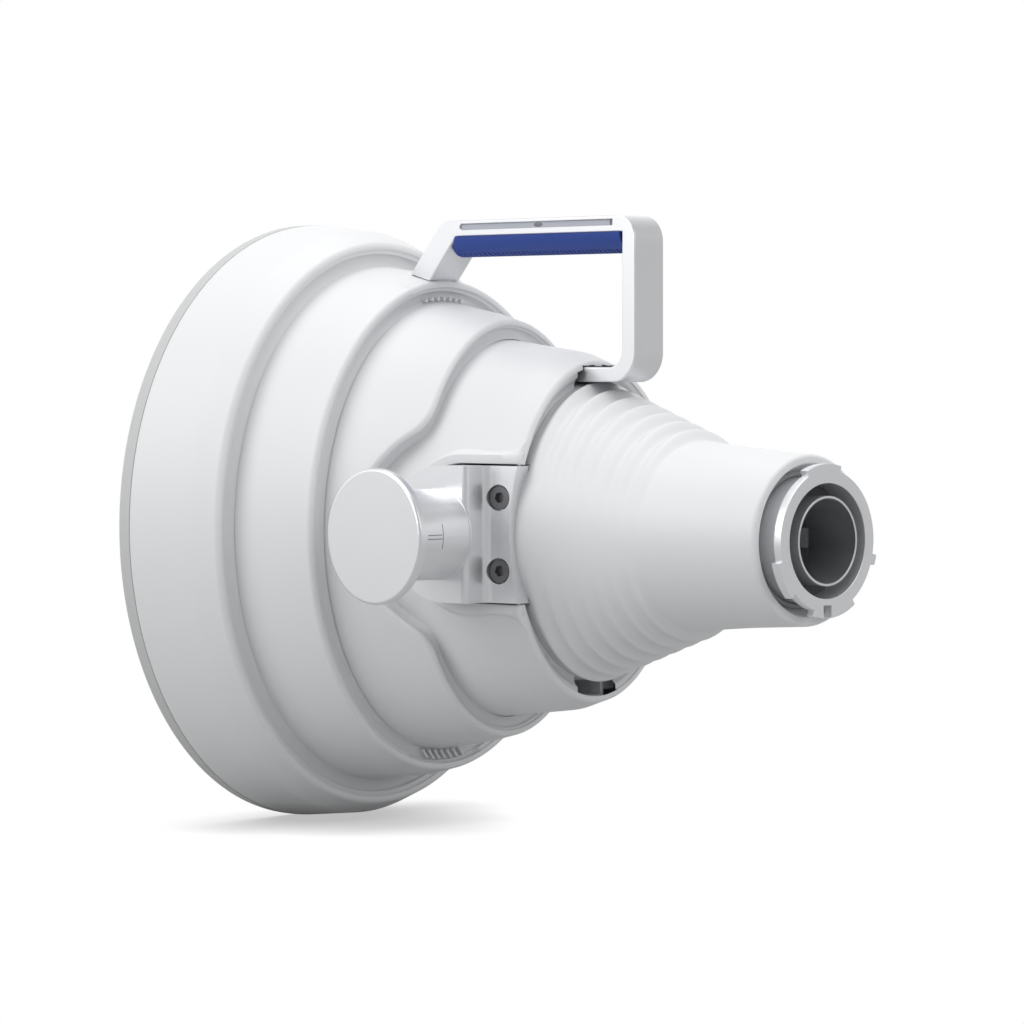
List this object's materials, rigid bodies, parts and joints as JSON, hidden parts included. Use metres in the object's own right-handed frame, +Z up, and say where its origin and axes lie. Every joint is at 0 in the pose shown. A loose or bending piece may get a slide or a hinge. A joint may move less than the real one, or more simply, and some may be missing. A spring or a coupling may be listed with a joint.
{
  "type": "horn antenna",
  "caption": "Round-port horn antenna in a stepped white housing, with side trunnions, a carrying handle and a bayonet waveguide port.",
  "frame": {"origin": "centre of the waveguide port's end face", "axes": "+X leaves the port along the horn's axis, so the horn looks towards -X; +Z is up, to the handle's side; the trunnions lie along Y"},
  "size_m": [0.3705, 0.262, 0.317],
  "materials": {
    "white_plastic": "fine-grained satin moulding",
    "cover_plastic": "smooth satin moulding",
    "satin_aluminium": "blasted and clear anodised",
    "cast_aluminium": "as cast",
    "dark_steel": "dark coated steel",
    "black_rubber": "matt moulded rubber",
    "grey_rubber": "matt moulded rubber",
    "blue_rubber": "matt soft grip with fine ribs",
    "blue_grey_plastic": "smooth insert"
  },
  "bodies": {
    "root": {"front_cover": "cover_plastic", "front_shell": "white_plastic", "second_shell": "white_plastic", "third_shell": "white_plastic", "rear_shell": "white_plastic", "neck_cover": "white_plastic", "upper_lip_clip": "white_plastic", "lower_lip_clip": "white_plastic", "upper_handle_socket": "white_plastic", "lower_handle_socket": "white_plastic", "port_flange": "satin_aluminium", "throat_screws": "dark_steel", "waveguide_sleeve": "satin_aluminium", "port_gasket": "black_rubber", "neck_ring_seal": "grey_rubber", "metal_horn": "cast_aluminium", "cover_gasket": "black_rubber", "left_trunnion": "satin_aluminium", "right_trunnion": "satin_aluminium", "left_trunnion_screws": "dark_steel", "right_trunnion_screws": "dark_steel", "handle": "satin_aluminium", "handle_grip": "blue_rubber", "handle_side_strips": "blue_grey_plastic"}
  },
  "joints": []
}
